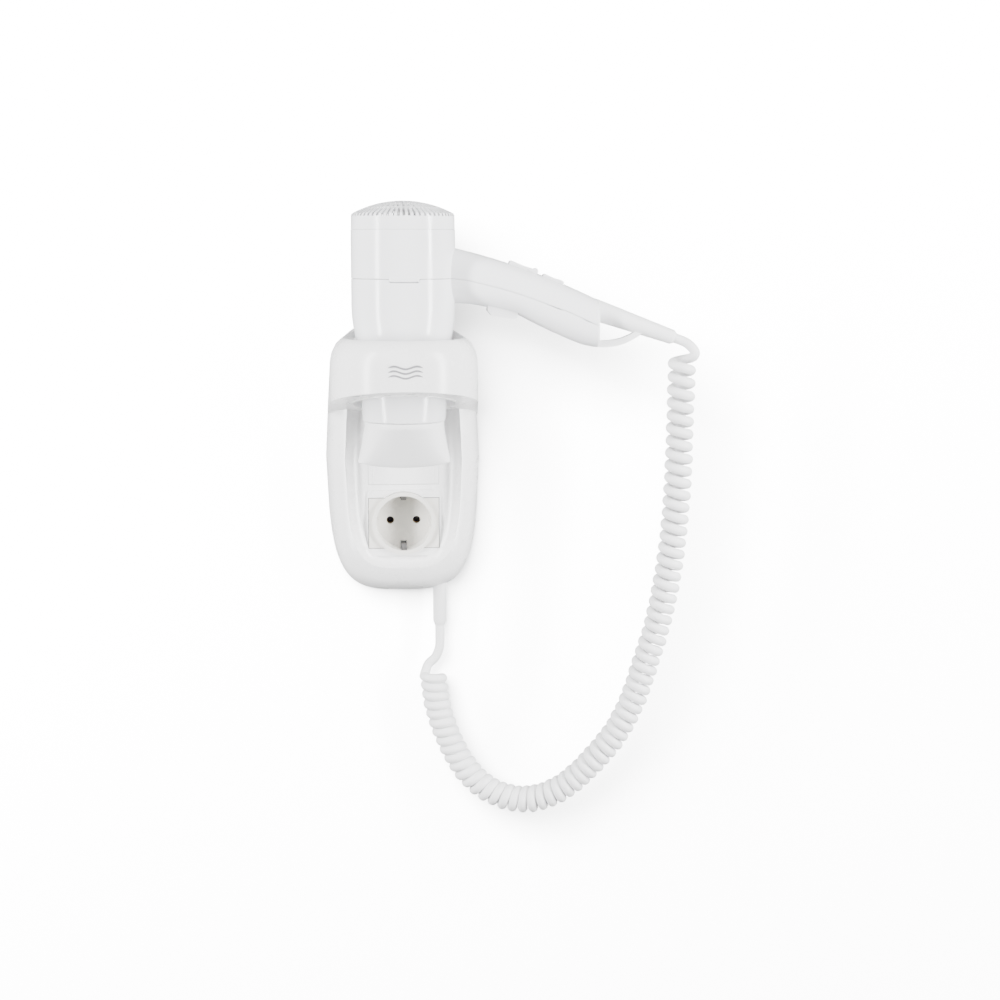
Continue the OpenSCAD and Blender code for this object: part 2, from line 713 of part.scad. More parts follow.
lip_r = (pow(mouth_w / 2, 2) + pow(lip_arch, 2)) / (2 * lip_arch);
module nozzle() color(white) on_axis() difference() {
    intersection() {
        hull() {
            translate([0, 0, nozzle_top - 3]) cylinder(h = 3, r = outlet_r - 1, $fn = 64);
            mouth_slab(mouth_w, mouth_t, nozzle_floor - lip_arch);
        }
        translate([0, 200, nozzle_floor - lip_arch + lip_r]) rotate([90, 0, 0])
            cylinder(h = 400, r = lip_r, $fn = 180);
    }
    hull() {
        translate([0, 0, nozzle_top - 6.5]) cylinder(h = 0.5, r = spigot_r - 1, $fn = 64);
        mouth_slab(mouth_w - 4, mouth_t - 4, nozzle_floor - lip_arch - 1);
    }
    translate([0, 0, nozzle_top - 6.5]) cylinder(h = 20, r = spigot_r + 0.08);
}

// ---- handle: controls ----
module trigger() color(cord_white) {
    side_view([
        [trig_x0, low_edge(trig_x0) + 3], [trig_x0, low_edge(trig_x0) - 2.5],
        [trig_x0 + 2.6, low_edge(trig_x0) - 5.2], [trig_x0 + 9, low_edge(trig_x0) - 6.6],
        [trig_x1 - 3, low_edge(trig_x0) - 7.8], [trig_x1 - 0.8, low_edge(trig_x0) - 7.2],
        [trig_x1, low_edge(trig_x0) - 5], [trig_x1, low_edge(trig_x0) + 3]
    ], 2 * trig_half_w);
    translate([trig_pin_x, handle_y, low_edge(trig_x0) + 2]) cylinder(h = 8, r = trig_pin_r, $fn = 48);
}

switch_low = low_edge(57) + 3 + trigger_travel + 1;
module trigger_switch() color(dark) difference() {
    translate([trig_pin_x - 8, handle_y - 5, switch_low]) cube([14, 10, 9]);
    translate([trig_pin_x, handle_y, switch_low - 1]) cylinder(h = 8.5, r = trig_pin_r + run_gap, $fn = 48);
}

// Rocker key: crowned top with a raised end, on a hub that carries its pivot pin
module rocker(pos, half, rise, lip) switch_frame() translate([pos, 0, 0]) {
    translate([0, rocker_half_w, 0]) rotate([90, 0, 0]) linear_extrude(2 * rocker_half_w)
        polygon([
            [-half, -2.4], [-half, rise - 0.9], [-half + 1, rise], [0, rise - 0.5],
            [half - 3.6, rise - 0.2], [half - 2.4, rise + lip], [half - 1, rise + lip - 0.2],
            [half, rise - 0.8], [half, -2.4]
        ]);
    translate([-4, -channel_in + 0.4, rocker_pivot - 2.8]) cube([8, 2 * channel_in - 0.8, 5.4]);
    translate([-4, -rocker_half_w, rocker_pivot]) cube([8, 2 * rocker_half_w, -rocker_pivot - 2]);
    translate([0, channel_out, rocker_pivot]) rotate([90, 0, 0])
        cylinder(h = 2 * channel_out, r = rocker_pin_r, $fn = 48);
}

module air_rocker() color(cord_white) rocker(air_pos, air_half, air_rise, 0.8);

module heat_rocker() color(cord_white) rocker(heat_pos, heat_half, heat_rise, -0.2);

module rocker_block() color(dark) switch_frame() difference() {
    union() {
        translate([-21, -channel_out, -13.4]) cube([40.5, 2 * channel_out, 2]);
        for (s = [-1, 1])
            translate([-21, s > 0 ? channel_in : -channel_out, -13.4])
                cube([40.5, channel_out - channel_in, 13.4 - 4.8]);
    }
    for (x = [air_pos, heat_pos])
        translate([x, channel_out + 1, rocker_pivot]) rotate([90, 0, 0])
            cylinder(h = 2 * channel_out + 2, r = rocker_pin_r + run_gap, $fn = 48);
}

module suppressor() color([0.55, 0.36, 0.16])
    translate([96, handle_y - 6, split_edge(96) - 9]) cube([14, 12, 7]);

handle_clamp_x = handle_reach - 13;
handle_clamp_z = min(tail_z + 4.2, top_edge(handle_clamp_x + 2) - shell - 6.1);
module handle_cord_clamp() color(dark) translate([handle_clamp_x, handle_y, handle_clamp_z])
    difference() {
        translate([-2, -6.5, -5.3]) cube([4, 13, 10.2]);
        rotate([0, 90, 0]) translate([0, 0, -10]) cylinder(h = 20, r = cord_d / 2 - 0.4, $fn = 48);
    }

// Soft moulding: tapered sleeve with its hanging loop
function loop_line(t) =
    [tail_x - 3 + 34 * t, low_edge(tail_x) + 2.6 + 9.5 * pow(t, 2.6) - 0.6 * sin(180 * t)];
module handle_relief() color(cord_white) {
    translate([tail_x, handle_y, tail_z]) rotate([0, 90 + tail_tilt, 0]) {
        translate([0, 0, -8]) cylinder(h = 8, r = tail_r, $fn = 48);
        translate([-2.4, -8.6, -8]) cube([8.4, 17.2, 1.8]);
        cylinder(h = relief_len - 2, r1 = tail_r, r2 = tip_r, $fn = 48);
        translate([0, 0, relief_len - 2]) cylinder(h = 2, r1 = tip_r, r2 = tip_r - 1.3, $fn = 48);
    }
    side_view(concat(
        [for (i = [0 : 12]) loop_line(i / 12) - [0, 2.3]],
        [for (i = [12 : -1 : 0]) loop_line(i / 12) + [0, 2.3]]
    ), 7.4);
}

// ---- cord ----
// Points of the curly part's middle line, from the holder to the handle, for sleeves that end
// at these two places. The route is carried along when either sleeve moves
drawn_start = [26, -12, -123.4];
drawn_end = [187.76, -62.54, 87.54];
start_shift = [relief_x, relief_y, relief_end] - drawn_start;
end_shift = tip - drawn_end;
curl_points = [
    [20.5, -14, -157], [23.5, -15, -181], [29, -17, -200], [37, -19, -218], [46, -21.5, -232],
    [58, -25, -243], [72, -29, -249], [86, -33, -250.5], [100, -37.5, -247], [114, -41.5, -239],
    [127, -45, -227], [139, -49, -212.5], [149, -51.5, -199], [157, -54, -184], [164.5, -56, -165],
    [171.5, -58, -141], [178, -60, -118], [184, -61.5, -88], [188.5, -62, -55], [191.5, -62, -15],
    [192.5, -62, 25], [193.6, -62, 77.5]
];
curl_last = len(curl_points) - 1;
curl_route = [
    for (i = [0 : curl_last])
        curl_points[i] + start_shift * (1 - i / curl_last) + end_shift * i / curl_last
];
lower_route = [
    [relief_x, relief_y, relief_end], start_shift + [25.7, -12.3, -133],
    start_shift + [24, -13, -145], curl_route[0]
];
upper_route = [tip, tip + [5.6, 0, -2.1], tip + [9.3, 0, -4.9], end_shift + [198.4, -62, 77.5]];

function spline(p, i, t) =
    let (a = p[max(i - 1, 0)], b = p[i], c = p[i + 1], d = p[min(i + 2, len(p) - 1)])
    0.5 * (2 * b + (c - a) * t + (2 * a - 5 * b + 4 * c - d) * t * t + (3 * b - a - 3 * c + d) * t * t * t);
function smooth(p, steps) = concat(
    [for (i = [0 : len(p) - 2]) for (k = [0 : steps - 1]) spline(p, i, k / steps)], [p[len(p) - 1]]
);
function unit(v) = v / norm(v);
function heading(p, i, first, last) =
    i == 0 ? first : i == len(p) - 1 ? last : unit(p[i + 1] - p[i - 1]);
function ring(c, t, r, n) =
    let (u = unit(cross([0, 1, 0], t)), v = cross(t, u))
    [for (k = [0 : n - 1]) c + r * (cos(360 * k / n) * v + sin(360 * k / n) * u)];

// Tube along a route, cut square to the given directions at its two ends
module cord_tube(route, steps, r, n, first, last) {
    p = smooth(route, steps);
    loft([for (i = [0 : len(p) - 1]) ring(p[i], heading(p, i, first, last), r, n)]);
}

curl_first = unit(curl_route[1] - curl_route[0]);
module cord_lower() color(cord_white)
    cord_tube(lower_route, 2, cord_d / 2, 12, [0, 0, -1], curl_first);

module cord_curl() color(cord_white)
    cord_tube(curl_route, 2, curl_d / 2, 12, curl_first, [0, 0, 1]);

module cord_upper() color(cord_white)
    cord_tube(upper_route, 3, cord_d / 2, 12, [cos(tail_tilt), 0, -sin(tail_tilt)], [0, 0, -1]);

wall_plate();
holder_housing();
housing_screws();
cradle_liner();
blank_cover();
socket_face();
socket_base();
contact_sleeves();
earth_clip();
terminal_block();
terminal_screws();
holder_cord_clamp();
holder_clamp_screws();
holder_relief();
intake_cap();
dust_filter();
rear_housing();
front_housing();
fan_duct();
motor();
motor_shaft();
fan_wheel();
heater_boards();
heating_coils();
mica_sleeve();
thermal_cutout();
outlet_grille();
nozzle();
trigger();
trigger_switch();
rocker_block();
air_rocker();
heat_rocker();
suppressor();
handle_cord_clamp();
handle_screws();
handle_relief();
cord_lower();
cord_curl();
cord_upper();
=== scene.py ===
# %% [markdown]
# # A hair dryer in its wall holder
# This lesson dresses a hotel-style hair dryer that hangs in a wall holder. The solids come
# from the CAD model with their sizes and joints fixed. Blender adds what the eye needs: a
# camera, soft light, moulded plastic, fine seams and a curly cord that is really wound.

# %% Load the CAD frame
import bmesh
import bpy
import math
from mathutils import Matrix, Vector


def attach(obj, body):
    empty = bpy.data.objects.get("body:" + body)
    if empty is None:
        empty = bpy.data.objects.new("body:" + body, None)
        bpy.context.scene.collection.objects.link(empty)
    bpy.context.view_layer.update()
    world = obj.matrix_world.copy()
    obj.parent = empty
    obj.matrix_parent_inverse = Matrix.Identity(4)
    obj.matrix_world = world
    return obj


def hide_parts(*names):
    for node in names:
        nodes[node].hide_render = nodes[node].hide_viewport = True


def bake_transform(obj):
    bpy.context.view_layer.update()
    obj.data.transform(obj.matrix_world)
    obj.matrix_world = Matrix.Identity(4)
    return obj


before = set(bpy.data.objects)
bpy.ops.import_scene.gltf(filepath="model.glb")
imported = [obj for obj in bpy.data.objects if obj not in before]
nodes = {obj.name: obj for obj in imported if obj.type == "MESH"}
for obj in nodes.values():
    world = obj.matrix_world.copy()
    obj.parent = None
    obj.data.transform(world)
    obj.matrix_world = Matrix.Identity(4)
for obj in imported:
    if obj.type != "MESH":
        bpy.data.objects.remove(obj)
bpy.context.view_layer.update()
MM = 0.001
print("the CAD model has", len(nodes), "parts")

# %% [markdown]
# The camera comes first, because everything is seen through it. The dryer is seen a little
# from the left and from above, through a short telephoto lens that keeps upright edges nearly
# parallel. The place and the two angles are plain numbers, so the view is easy to change.

# %% The camera
CAMERA_PLACE = (-0.0272, -1.3066, 0.1527)
CAMERA_YAW = 4.30
CAMERA_PITCH = -8.10
lens = bpy.data.cameras.new("shop_camera")
lens.lens = 65.0
lens.sensor_width = 36.0
lens.clip_start = 0.05
camera = bpy.data.objects.new("shop_camera", lens)
camera.location = CAMERA_PLACE
camera.rotation_euler = (math.radians(90 + CAMERA_PITCH), 0, math.radians(-CAMERA_YAW))
bpy.context.scene.collection.objects.link(camera)
bpy.context.scene.camera = camera
print("camera stands", round(-CAMERA_PLACE[1], 3), "m in front of the wall")

# %% [markdown]
# Every piece made here is a mesh written in millimetres and scaled once on the way in. The
# helper also decides which edges stay sharp: faces that meet at less than the given angle
# share a smooth normal, so a moulded surface runs on and a real edge stays an edge.

# %% Helpers that turn lists into meshes
SMOOTH_ANGLE = 34.0


def mesh_piece(name, points, faces, smooth_angle=SMOOTH_ANGLE):
    mesh = bpy.data.meshes.new(name)
    mesh.from_pydata([tuple(c * MM for c in p) for p in points], [], faces)
    mesh.validate()
    mesh.shade_smooth()
    mesh.set_sharp_from_angle(angle=math.radians(smooth_angle))
    piece = bpy.data.objects.new(name, mesh)
    bpy.context.scene.collection.objects.link(piece)
    return piece


def strip_faces(rows, columns, closed_columns=False, closed_rows=False, skip=None):
    """Four-sided faces between a grid's rows and columns; skip leaves faces out."""
    faces = []
    for r in range(rows if closed_rows else rows - 1):
        for c in range(columns if closed_columns else columns - 1):
            if skip and skip(r, c):
                continue
            r2, c2 = (r + 1) % rows, (c + 1) % columns
            faces.append((
                r * columns + c, r * columns + c2, r2 * columns + c2, r2 * columns + c,
            ))
    return faces


def smooth_route(points, steps):
    """A smooth line through all the points, with the given steps between two of them."""
    line = []
    last = len(points) - 1
    for i in range(last):
        a, b = Vector(points[max(i - 1, 0)]), Vector(points[i])
        c, d = Vector(points[i + 1]), Vector(points[min(i + 2, last)])
        for k in range(steps):
            t = k / steps
            line.append(0.5 * (
                2 * b + (c - a) * t + (2 * a - 5 * b + 4 * c - d) * t * t
                + (3 * b - a - 3 * c + d) * t ** 3
            ))
    line.append(Vector(points[last]))
    return line


def travelled(line):
    """The way travelled at each point of a line."""
    lengths = [0.0]
    for a, b in zip(line, line[1:]):
        lengths.append(lengths[-1] + (b - a).length)
    return lengths


def at_length(line, lengths, s):
    """The place on a line after the way s, and the direction there."""
    s = min(max(s, 0.0), lengths[-1])
    for i in range(1, len(lengths)):
        if lengths[i] >= s:
            t = (s - lengths[i - 1]) / max(lengths[i] - lengths[i - 1], 1e-9)
            return line[i - 1].lerp(line[i], t), (line[i] - line[i - 1]).normalized()
    return line[-1].copy(), (line[-1] - line[-2]).normalized()


print("helpers ready")

# %% [markdown]
# A curly cord is a straight cord wound on a rod and set by heat. Seen from any side its turns
# lean the same way, because it is a left-handed screw. It could be an array of rings, but then
# the turns would not join. Here one line is walked along the cord's route, and it circles
# round the route as the walk goes on. The turns lie close near the holder and are pulled apart
# by their own weight near the handle, so the walk takes longer steps there. Two slow waves make
# the turns a little unequal, as real ones are.

# %% The route of the cord, in metres
CORD_D = 6.8
COIL_D = 19.8
coil_route = [
    (0.0205, -0.014, -0.157), (0.0235, -0.015, -0.181), (0.029, -0.017, -0.200),
    (0.037, -0.019, -0.218), (0.046, -0.0215, -0.232), (0.058, -0.025, -0.243),
    (0.072, -0.029, -0.249), (0.086, -0.033, -0.2505), (0.100, -0.0375, -0.247),
    (0.114, -0.0415, -0.239), (0.127, -0.045, -0.227), (0.139, -0.049, -0.2125),
    (0.149, -0.0515, -0.199), (0.157, -0.054, -0.184), (0.1645, -0.056, -0.165),
    (0.1715, -0.058, -0.141), (0.178, -0.060, -0.118), (0.184, -0.0615, -0.088),
    (0.1885, -0.062, -0.055), (0.1915, -0.062, -0.015), (0.1925, -0.062, 0.025),
    (0.1936, -0.062, 0.0775),
]
ROUTE_STEPS = 12
coil_line = smooth_route([tuple(c / MM for c in p) for p in coil_route], ROUTE_STEPS)
coil_lengths = travelled(coil_line)
print("the wound part is", round(coil_lengths[-1]), "mm long from end to end")

# %% Wind the cord
COIL_R = (COIL_D - CORD_D) / 2
STEPS_PER_TURN = 26
CLOSE_PITCH = 6.9
OPEN_PITCH = 9.3
OPENS_FROM = 0.3
OPENING_CURVE = 1.2
END_MARGIN = CORD_D / 2
UNEVEN_WAVES = ((0.018, 0.37, 1.3), (0.012, 0.113, 0.0))


def pitch_at(s):
    opened = max(0.0, (s / coil_lengths[-1] - OPENS_FROM) / (1 - OPENS_FROM))
    return CLOSE_PITCH + (OPEN_PITCH - CLOSE_PITCH) * opened ** OPENING_CURVE


def coil_frame(tangent):
    front = Vector((0, -1, 0))
    front = (front - tangent * front.dot(tangent)).normalized()
    return tangent.cross(front), front


def wind(fit):
    """Walk along the route; fit stretches every turn a little, so that a whole number fits."""
    points, s, angle = [], END_MARGIN, 0.0
    while s <= coil_lengths[-1] - END_MARGIN + 1e-6:
        middle, tangent = at_length(coil_line, coil_lengths, s)
        side, front = coil_frame(tangent)
        r = COIL_R * (1 + sum(
            size * math.sin(rate * angle + start) for size, rate, start in UNEVEN_WAVES))
        points.append(middle + (side * math.cos(angle) + front * math.sin(angle)) * r)
        angle += 2 * math.pi / STEPS_PER_TURN
        s += pitch_at(s) * fit / STEPS_PER_TURN
    return points


free_turns = (len(wind(1.0)) - 1) / STEPS_PER_TURN
wound = wind(free_turns / round(free_turns))
wound = wound[:len(wound) - (len(wound) - 1) % STEPS_PER_TURN]
turns = (len(wound) - 1) / STEPS_PER_TURN
print("turns:", round(turns, 1))

# %% [markdown]
# The two straight leads are given point by point. The lower one drops out of the holder's sleeve
# and slides sideways into the top turn. The upper one leaves the handle's sleeve, rolls over to
# the right and comes down behind the last turn. Six points of the winding shape each bend,
# and the smooth curve is used up to the third of them. Then the whole line is measured out
# again in equal steps, so that the tube's faces are all of one size.

# %% Join the leads to the coil
relief_tip = (187.76, -62.54, 87.54)
lower_lead = [
    (26, -12, -119), (26, -12, -123.4), (26, -12, -132), (25.6, -12, -140.5),
    (22.6, -11.8, -148), (17.4, -11.6, -153.2),
]
turn_end = wound[-1]
upper_lead = [
    turn_end + Vector((1.3, -2.6, 1.3)), turn_end + Vector((1.5, -3.2, 4.4)),
    (197.6, -64.0, 83.0), (193.2, -62.8, 85.5), relief_tip, (184.0, -62.54, 88.86),
]
JOIN_STEPS = 8
SHARED = 6
THIRD = 2


def with_leads(before, line, after):
    """One smooth line: a lead, the winding as it is, and the other lead."""
    head = smooth_route([tuple(p) for p in before + line[:SHARED]], JOIN_STEPS)
    tail = smooth_route([tuple(p) for p in line[-SHARED:] + after], JOIN_STEPS)
    head_end = (len(before) + THIRD) * JOIN_STEPS
    tail_start = (SHARED - THIRD - 1) * JOIN_STEPS
    return head[:head_end] + line[THIRD:-THIRD - 1] + tail[tail_start:]


whole_line = with_leads(lower_lead, wound, upper_lead)
print("leads joined:", len(whole_line), "points")

# %% Space the points evenly
CORD_STEP = 1.55


def evenly_spaced(line, step):
    lengths = travelled(line)
    count = int(lengths[-1] / step)
    spaced, i = [], 1
    for k in range(count + 1):
        s = lengths[-1] * k / count
        while i < len(lengths) - 1 and lengths[i] < s:
            i += 1
        t = (s - lengths[i - 1]) / max(lengths[i] - lengths[i - 1], 1e-9)
        spaced.append(line[i - 1].lerp(line[i], min(max(t, 0), 1)))
    return spaced


cord_line = evenly_spaced(whole_line, CORD_STEP)
cord_length = travelled(cord_line)[-1]
print("the whole cord is", round(cord_length / 1000, 2), "m long")

# %% Sweep a round section along the cord
CORD_SIDES = 18
CORD_SMOOTH_ANGLE = 60


def tube_along(name, line, radius, sides):
    points = []
    normal = Vector((0.3, -1, 0.1)).normalized()
    for k, p in enumerate(line):
        ahead = line[min(k + 1, len(line) - 1)] - line[max(k - 1, 0)]
        ahead.normalize()
        normal = (normal - ahead * normal.dot(ahead)).normalized()
        other = ahead.cross(normal)
        for j in range(sides):
            a = 2 * math.pi * j / sides
            points.append(p + (normal * math.cos(a) + other * math.sin(a)) * radius)
    faces = strip_faces(len(line), sides, closed_columns=True)
    faces.append(tuple(range(sides)))
    faces.append(tuple((len(line) - 1) * sides + j for j in reversed(range(sides))))
    return mesh_piece(name, points, faces, CORD_SMOOTH_ANGLE)


cord = tube_along("curly_cord", cord_line, CORD_D / 2, CORD_SIDES)
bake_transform(cord)
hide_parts("cord_lower", "cord_curl", "cord_upper")
print("cord mesh:", len(cord.data.vertices), "points")

# %% [markdown]
# Each surface gets its colour, gloss and grain from a small tree of nodes. Three helpers build
# these: one starts a material and hands over its main shader, one adds a node with its numbers
# and its links, and one turns a pattern into two colours. A number that is the same all over a
# surface goes straight onto the shader's own socket, so that an export keeps it.

# %% Helpers that build materials
def new_material(name):
    material = bpy.data.materials.new(name)
    material.use_nodes = True
    return material, material.node_tree, material.node_tree.nodes["Principled BSDF"]


def add_node(tree, kind, feeds=(), **numbers):
    """A new node: numbers set its sockets, and feeds are pairs of an output and a socket."""
    node = tree.nodes.new("ShaderNode" + kind)
    for socket, number in numbers.items():
        node.inputs[socket.replace("_", " ")].default_value = number
    for source, socket in feeds:
        tree.links.new(source, node.inputs[socket])
    return node


def two_colours(tree, pattern, first, second, low=0.0, high=1.0):
    ramp = add_node(tree, "ValToRGB", [(pattern, "Fac")])
    for stop, place, colour in zip(ramp.color_ramp.elements, (low, high), (first, second)):
        stop.position = place
        stop.color = tuple(colour) + (1,)
    return ramp.outputs["Color"]


print("material helpers ready")

# %% [markdown]
# The holder hangs on a plain wall, and a plain pale floor lies below it. Both are staging and
# not part of the object. The wall's material lets light and sight through from its back, so
# the rear of the object can be looked at as well. A hair of space is left between the wall and
# the holder's back edge: on the real one it draws the fine dark contact line.

# %% Wall and floor
WALL_GAP = 0.9
FLOOR_Z, CEILING_Z = -900, 1900
ROOM_HALF_W, ROOM_DEPTH = 2500, 3500
SHADE_SPREAD = 0.004


def staging_material(name, shade, see_through_back):
    material, tree, shader = new_material(name)
    shader.inputs["Roughness"].default_value = 0.85
    shader.inputs["Specular IOR Level"].default_value = 0.15
    noise = add_node(tree, "TexNoise", Scale=6.0, Detail=3.0)
    tone = add_node(tree, "MapRange", [(noise.outputs["Fac"], "Value")],
                    To_Min=shade - SHADE_SPREAD, To_Max=shade + SHADE_SPREAD)
    tree.links.new(tone.outputs["Result"], shader.inputs["Base Color"])
    if see_through_back:
        facing = add_node(tree, "NewGeometry")
        clear = add_node(tree, "BsdfTransparent")
        mix = add_node(tree, "MixShader", [
            (facing.outputs["Backfacing"], "Fac"), (shader.outputs["BSDF"], 1),
            (clear.outputs["BSDF"], 2)])
        tree.links.new(mix.outputs["Shader"], tree.nodes["Material Output"].inputs["Surface"])
    return material


def staging_plane(name, corners, material):
    piece = mesh_piece(name, corners, [(0, 1, 2, 3)])
    piece.data.materials.append(material)
    return piece


wall = staging_plane(
    "room_wall", [(-ROOM_HALF_W, WALL_GAP, FLOOR_Z), (ROOM_HALF_W, WALL_GAP, FLOOR_Z),
                  (ROOM_HALF_W, WALL_GAP, CEILING_Z), (-ROOM_HALF_W, WALL_GAP, CEILING_Z)],
    staging_material("wall_paint", 0.93, True),
)
floor = staging_plane(
    "room_floor", [(-ROOM_HALF_W, -ROOM_DEPTH, FLOOR_Z), (ROOM_HALF_W, -ROOM_DEPTH, FLOOR_Z),
                   (ROOM_HALF_W, 0, FLOOR_Z), (-ROOM_HALF_W, 0, FLOOR_Z)],
    staging_material("floor_paint", 0.85, False),
)
print("wall faces the room:", tuple(round(c) for c in wall.data.polygons[0].normal))

# %% [markdown]
# White on white needs light that comes from somewhere. A broad soft box at the upper left
# shapes the object. A second one from the same side lights only the wall and floor: it keeps
# them pale, and it throws the soft shadow to the lower right. A tall strip on each side draws
# the two upright bands on the glossy barrel and leaves its middle a calm grey. The world adds
# a fill that is brighter above than below, so undersides are a shade darker and none is black.
# The wall and floor are hidden from reflected light, so they don't wash out the undersides.

# %% Lights
def soft_box(name, place, aim, width, height, watts):
    light = bpy.data.lights.new(name, "AREA")
    light.shape = "RECTANGLE"
    light.size, light.size_y = width, height
    light.energy = watts
    lamp = bpy.data.objects.new(name, light)
    lamp.location = place
    lamp.rotation_euler = (Vector(aim) - Vector(place)).to_track_quat("-Z", "Y").to_euler()
    bpy.context.scene.collection.objects.link(lamp)
    return lamp


AIM = (0.04, -0.05, 0.02)
soft_box("main_box", (-1.0, -1.5, 1.35), AIM, 1.0, 0.8, 20)
soft_box("left_strip", (-1.0, -0.66, 0.15), AIM, 0.10, 1.7, 62)
soft_box("right_strip", (1.0, -0.64, 0.15), AIM, 0.14, 1.6, 66)
wash = soft_box("wall_wash", (-0.7, -1.9, 1.0), (0.05, 0, -0.1), 1.5, 1.5, 900)
staging = bpy.data.collections.new("staging_only")
staging.objects.link(wall)
staging.objects.link(floor)
wash.light_linking.receiver_collection = staging
for plane in (wall, floor):
    plane.visible_diffuse = False
    plane.visible_glossy = False

# %% The fill from the world
FILL_BELOW, FILL_ABOVE = 0.18, 0.8
world = bpy.data.worlds.new("studio_fill")
world.use_nodes = True
sky = world.node_tree
background = sky.nodes["Background"]
background.inputs["Color"].default_value = (1, 1, 1, 1)
where = add_node(sky, "TexCoord")
split = add_node(sky, "SeparateXYZ", [(where.outputs["Generated"], "Vector")])
fade = add_node(sky, "MapRange", [(split.outputs["Z"], "Value")],
                From_Min=-1.0, To_Min=FILL_BELOW, To_Max=FILL_ABOVE)
sky.links.new(fade.outputs["Result"], background.inputs["Strength"])
bpy.context.scene.world = world
print("fill from", FILL_BELOW, "below to", FILL_ABOVE, "above")

# %% [markdown]
# Moulded plastic is never one flat colour. The holder and the housings are glossy white ABS:
# a clear, slightly wavy surface with a finer sheen where hands and cleaning have dulled it.
# The keys are the same plastic with a spark-eroded texture, the sleeves and the cord are soft
# white PVC, and the socket is a warmer white that resists heat. One builder makes them all:
# a cloudy noise moves the colour and the roughness, and a fine one makes the bump.

# %% Plastics
CLOUD_LOW, CLOUD_HIGH = 0.3, 0.7


def plastic(name, colour, rough, rough_spread, grain_scale, grain, wave=0.0, tint=0.02,
            soft=0.0):
    material, tree, shader = new_material(name)
    place = add_node(tree, "TexCoord").outputs["Object"]
    noise = add_node(tree, "TexNoise", [(place, "Vector")], Scale=38.0, Detail=4.0, Roughness=0.6)
    cloud = noise.outputs["Fac"]
    darker = [c * (1 - tint) for c in colour]
    tree.links.new(
        two_colours(tree, cloud, darker, colour, CLOUD_LOW, CLOUD_HIGH),
        shader.inputs["Base Color"])
    sheen = add_node(tree, "MapRange", [(cloud, "Value")],
                     From_Min=CLOUD_LOW, From_Max=CLOUD_HIGH,
                     To_Min=rough - rough_spread, To_Max=rough + rough_spread)
    tree.links.new(sheen.outputs["Result"], shader.inputs["Roughness"])
    fine = add_node(tree, "TexNoise", [(place, "Vector")], Scale=grain_scale, Detail=3.0)
    bump = add_node(tree, "Bump", [(fine.outputs["Fac"], "Height")],
                    Strength=grain, Distance=0.0002)
    if wave:
        broad = add_node(tree, "TexNoise", [(place, "Vector")], Scale=55.0, Detail=1.0)
        bump = add_node(
            tree, "Bump", [(broad.outputs["Fac"], "Height"), (bump.outputs["Normal"], "Normal")],
            Strength=wave, Distance=0.001)
    tree.links.new(bump.outputs["Normal"], shader.inputs["Normal"])
    shader.inputs["IOR"].default_value = 1.5
    shader.inputs["Subsurface Weight"].default_value = soft
    shader.inputs["Subsurface Radius"].default_value = (0.002, 0.002, 0.002)
    return material


abs_white = plastic("gloss_white_abs", (0.86, 0.865, 0.88), 0.19, 0.05, 1800, 0.05, wave=0.04)
holder_white = plastic("holder_white_abs", (0.87, 0.868, 0.868), 0.28, 0.05, 1700, 0.05, wave=0.04)
nozzle_white = plastic("nozzle_white_pa", (0.84, 0.84, 0.845), 0.40, 0.05, 2600, 0.16)
socket_white = plastic("warm_white_socket", (0.72, 0.705, 0.665), 0.34, 0.06, 2200, 0.08)
key_white = plastic("textured_key", (0.80, 0.80, 0.81), 0.50, 0.06, 4200, 0.35)
pvc_white = plastic("soft_white_pvc", (0.83, 0.83, 0.835), 0.42, 0.07, 2400, 0.12, soft=0.05)
black_plastic = plastic("dark_heatproof", (0.028, 0.028, 0.031), 0.48, 0.08, 2600, 0.3, tint=0.2)
mesh_grey = plastic("filter_foam", (0.30, 0.275, 0.27), 0.75, 0.1, 5200, 0.8, tint=0.3)
# Near-black, for the strips that paint the shade in the joint round the socket module.
joint_shade_grey = plastic("painted_joint_shade", (0.05, 0.05, 0.048), 0.6, 0.1, 3000, 0.3, tint=0.2)
print_grey = plastic("printed_grey_ink", (0.24, 0.24, 0.25), 0.45, 0.06, 3600, 0.2, tint=0.08)
film_brown = plastic("dipped_capacitor", (0.36, 0.19, 0.07), 0.25, 0.05, 1500, 0.1, tint=0.12)
print("materials so far:", len(bpy.data.materials))

# %% [markdown]
# The few metals are small: earth tongues, screws and contacts. Rolled strip shows fine lines
# along one direction, so their noise is stretched. Mica board is built of flakes: a warm
# brown with silvery patches, which a Voronoi pattern gives.

# %% Metals and mica
def patterned(name, pattern_from, colours, rough, bump_strength, bump_distance):
    """A surface whose colour, gloss and bump all follow one pattern."""
    material, tree, shader = new_material(name)
    place = add_node(tree, "TexCoord").outputs["Object"]
    pattern = pattern_from(tree, place)
    tree.links.new(two_colours(tree, pattern, *colours), shader.inputs["Base Color"])
    gloss = add_node(tree, "MapRange", [(pattern, "Value")], To_Min=rough[0], To_Max=rough[1])
    tree.links.new(gloss.outputs["Result"], shader.inputs["Roughness"])
    bump = add_node(tree, "Bump", [(pattern, "Height")],
                    Strength=bump_strength, Distance=bump_distance)
    tree.links.new(bump.outputs["Normal"], shader.inputs["Normal"])
    return material


def metal(name, colour, rough, stretch):
    def rolled_lines(tree, place):
        turn = add_node(tree, "Mapping", [(place, "Vector")], Scale=stretch)
        lines = add_node(
            tree, "TexNoise", [(turn.outputs["Vector"], "Vector")], Scale=420.0, Detail=5.0)
        return lines.outputs["Fac"]

    colours = ([c * 0.82 for c in colour], colour)
    material = patterned(name, rolled_lines, colours, (rough - 0.08, rough + 0.1), 0.12, 0.0001)
    shader = material.node_tree.nodes["Principled BSDF"]
    shader.inputs["Metallic"].default_value = 1.0
    return material


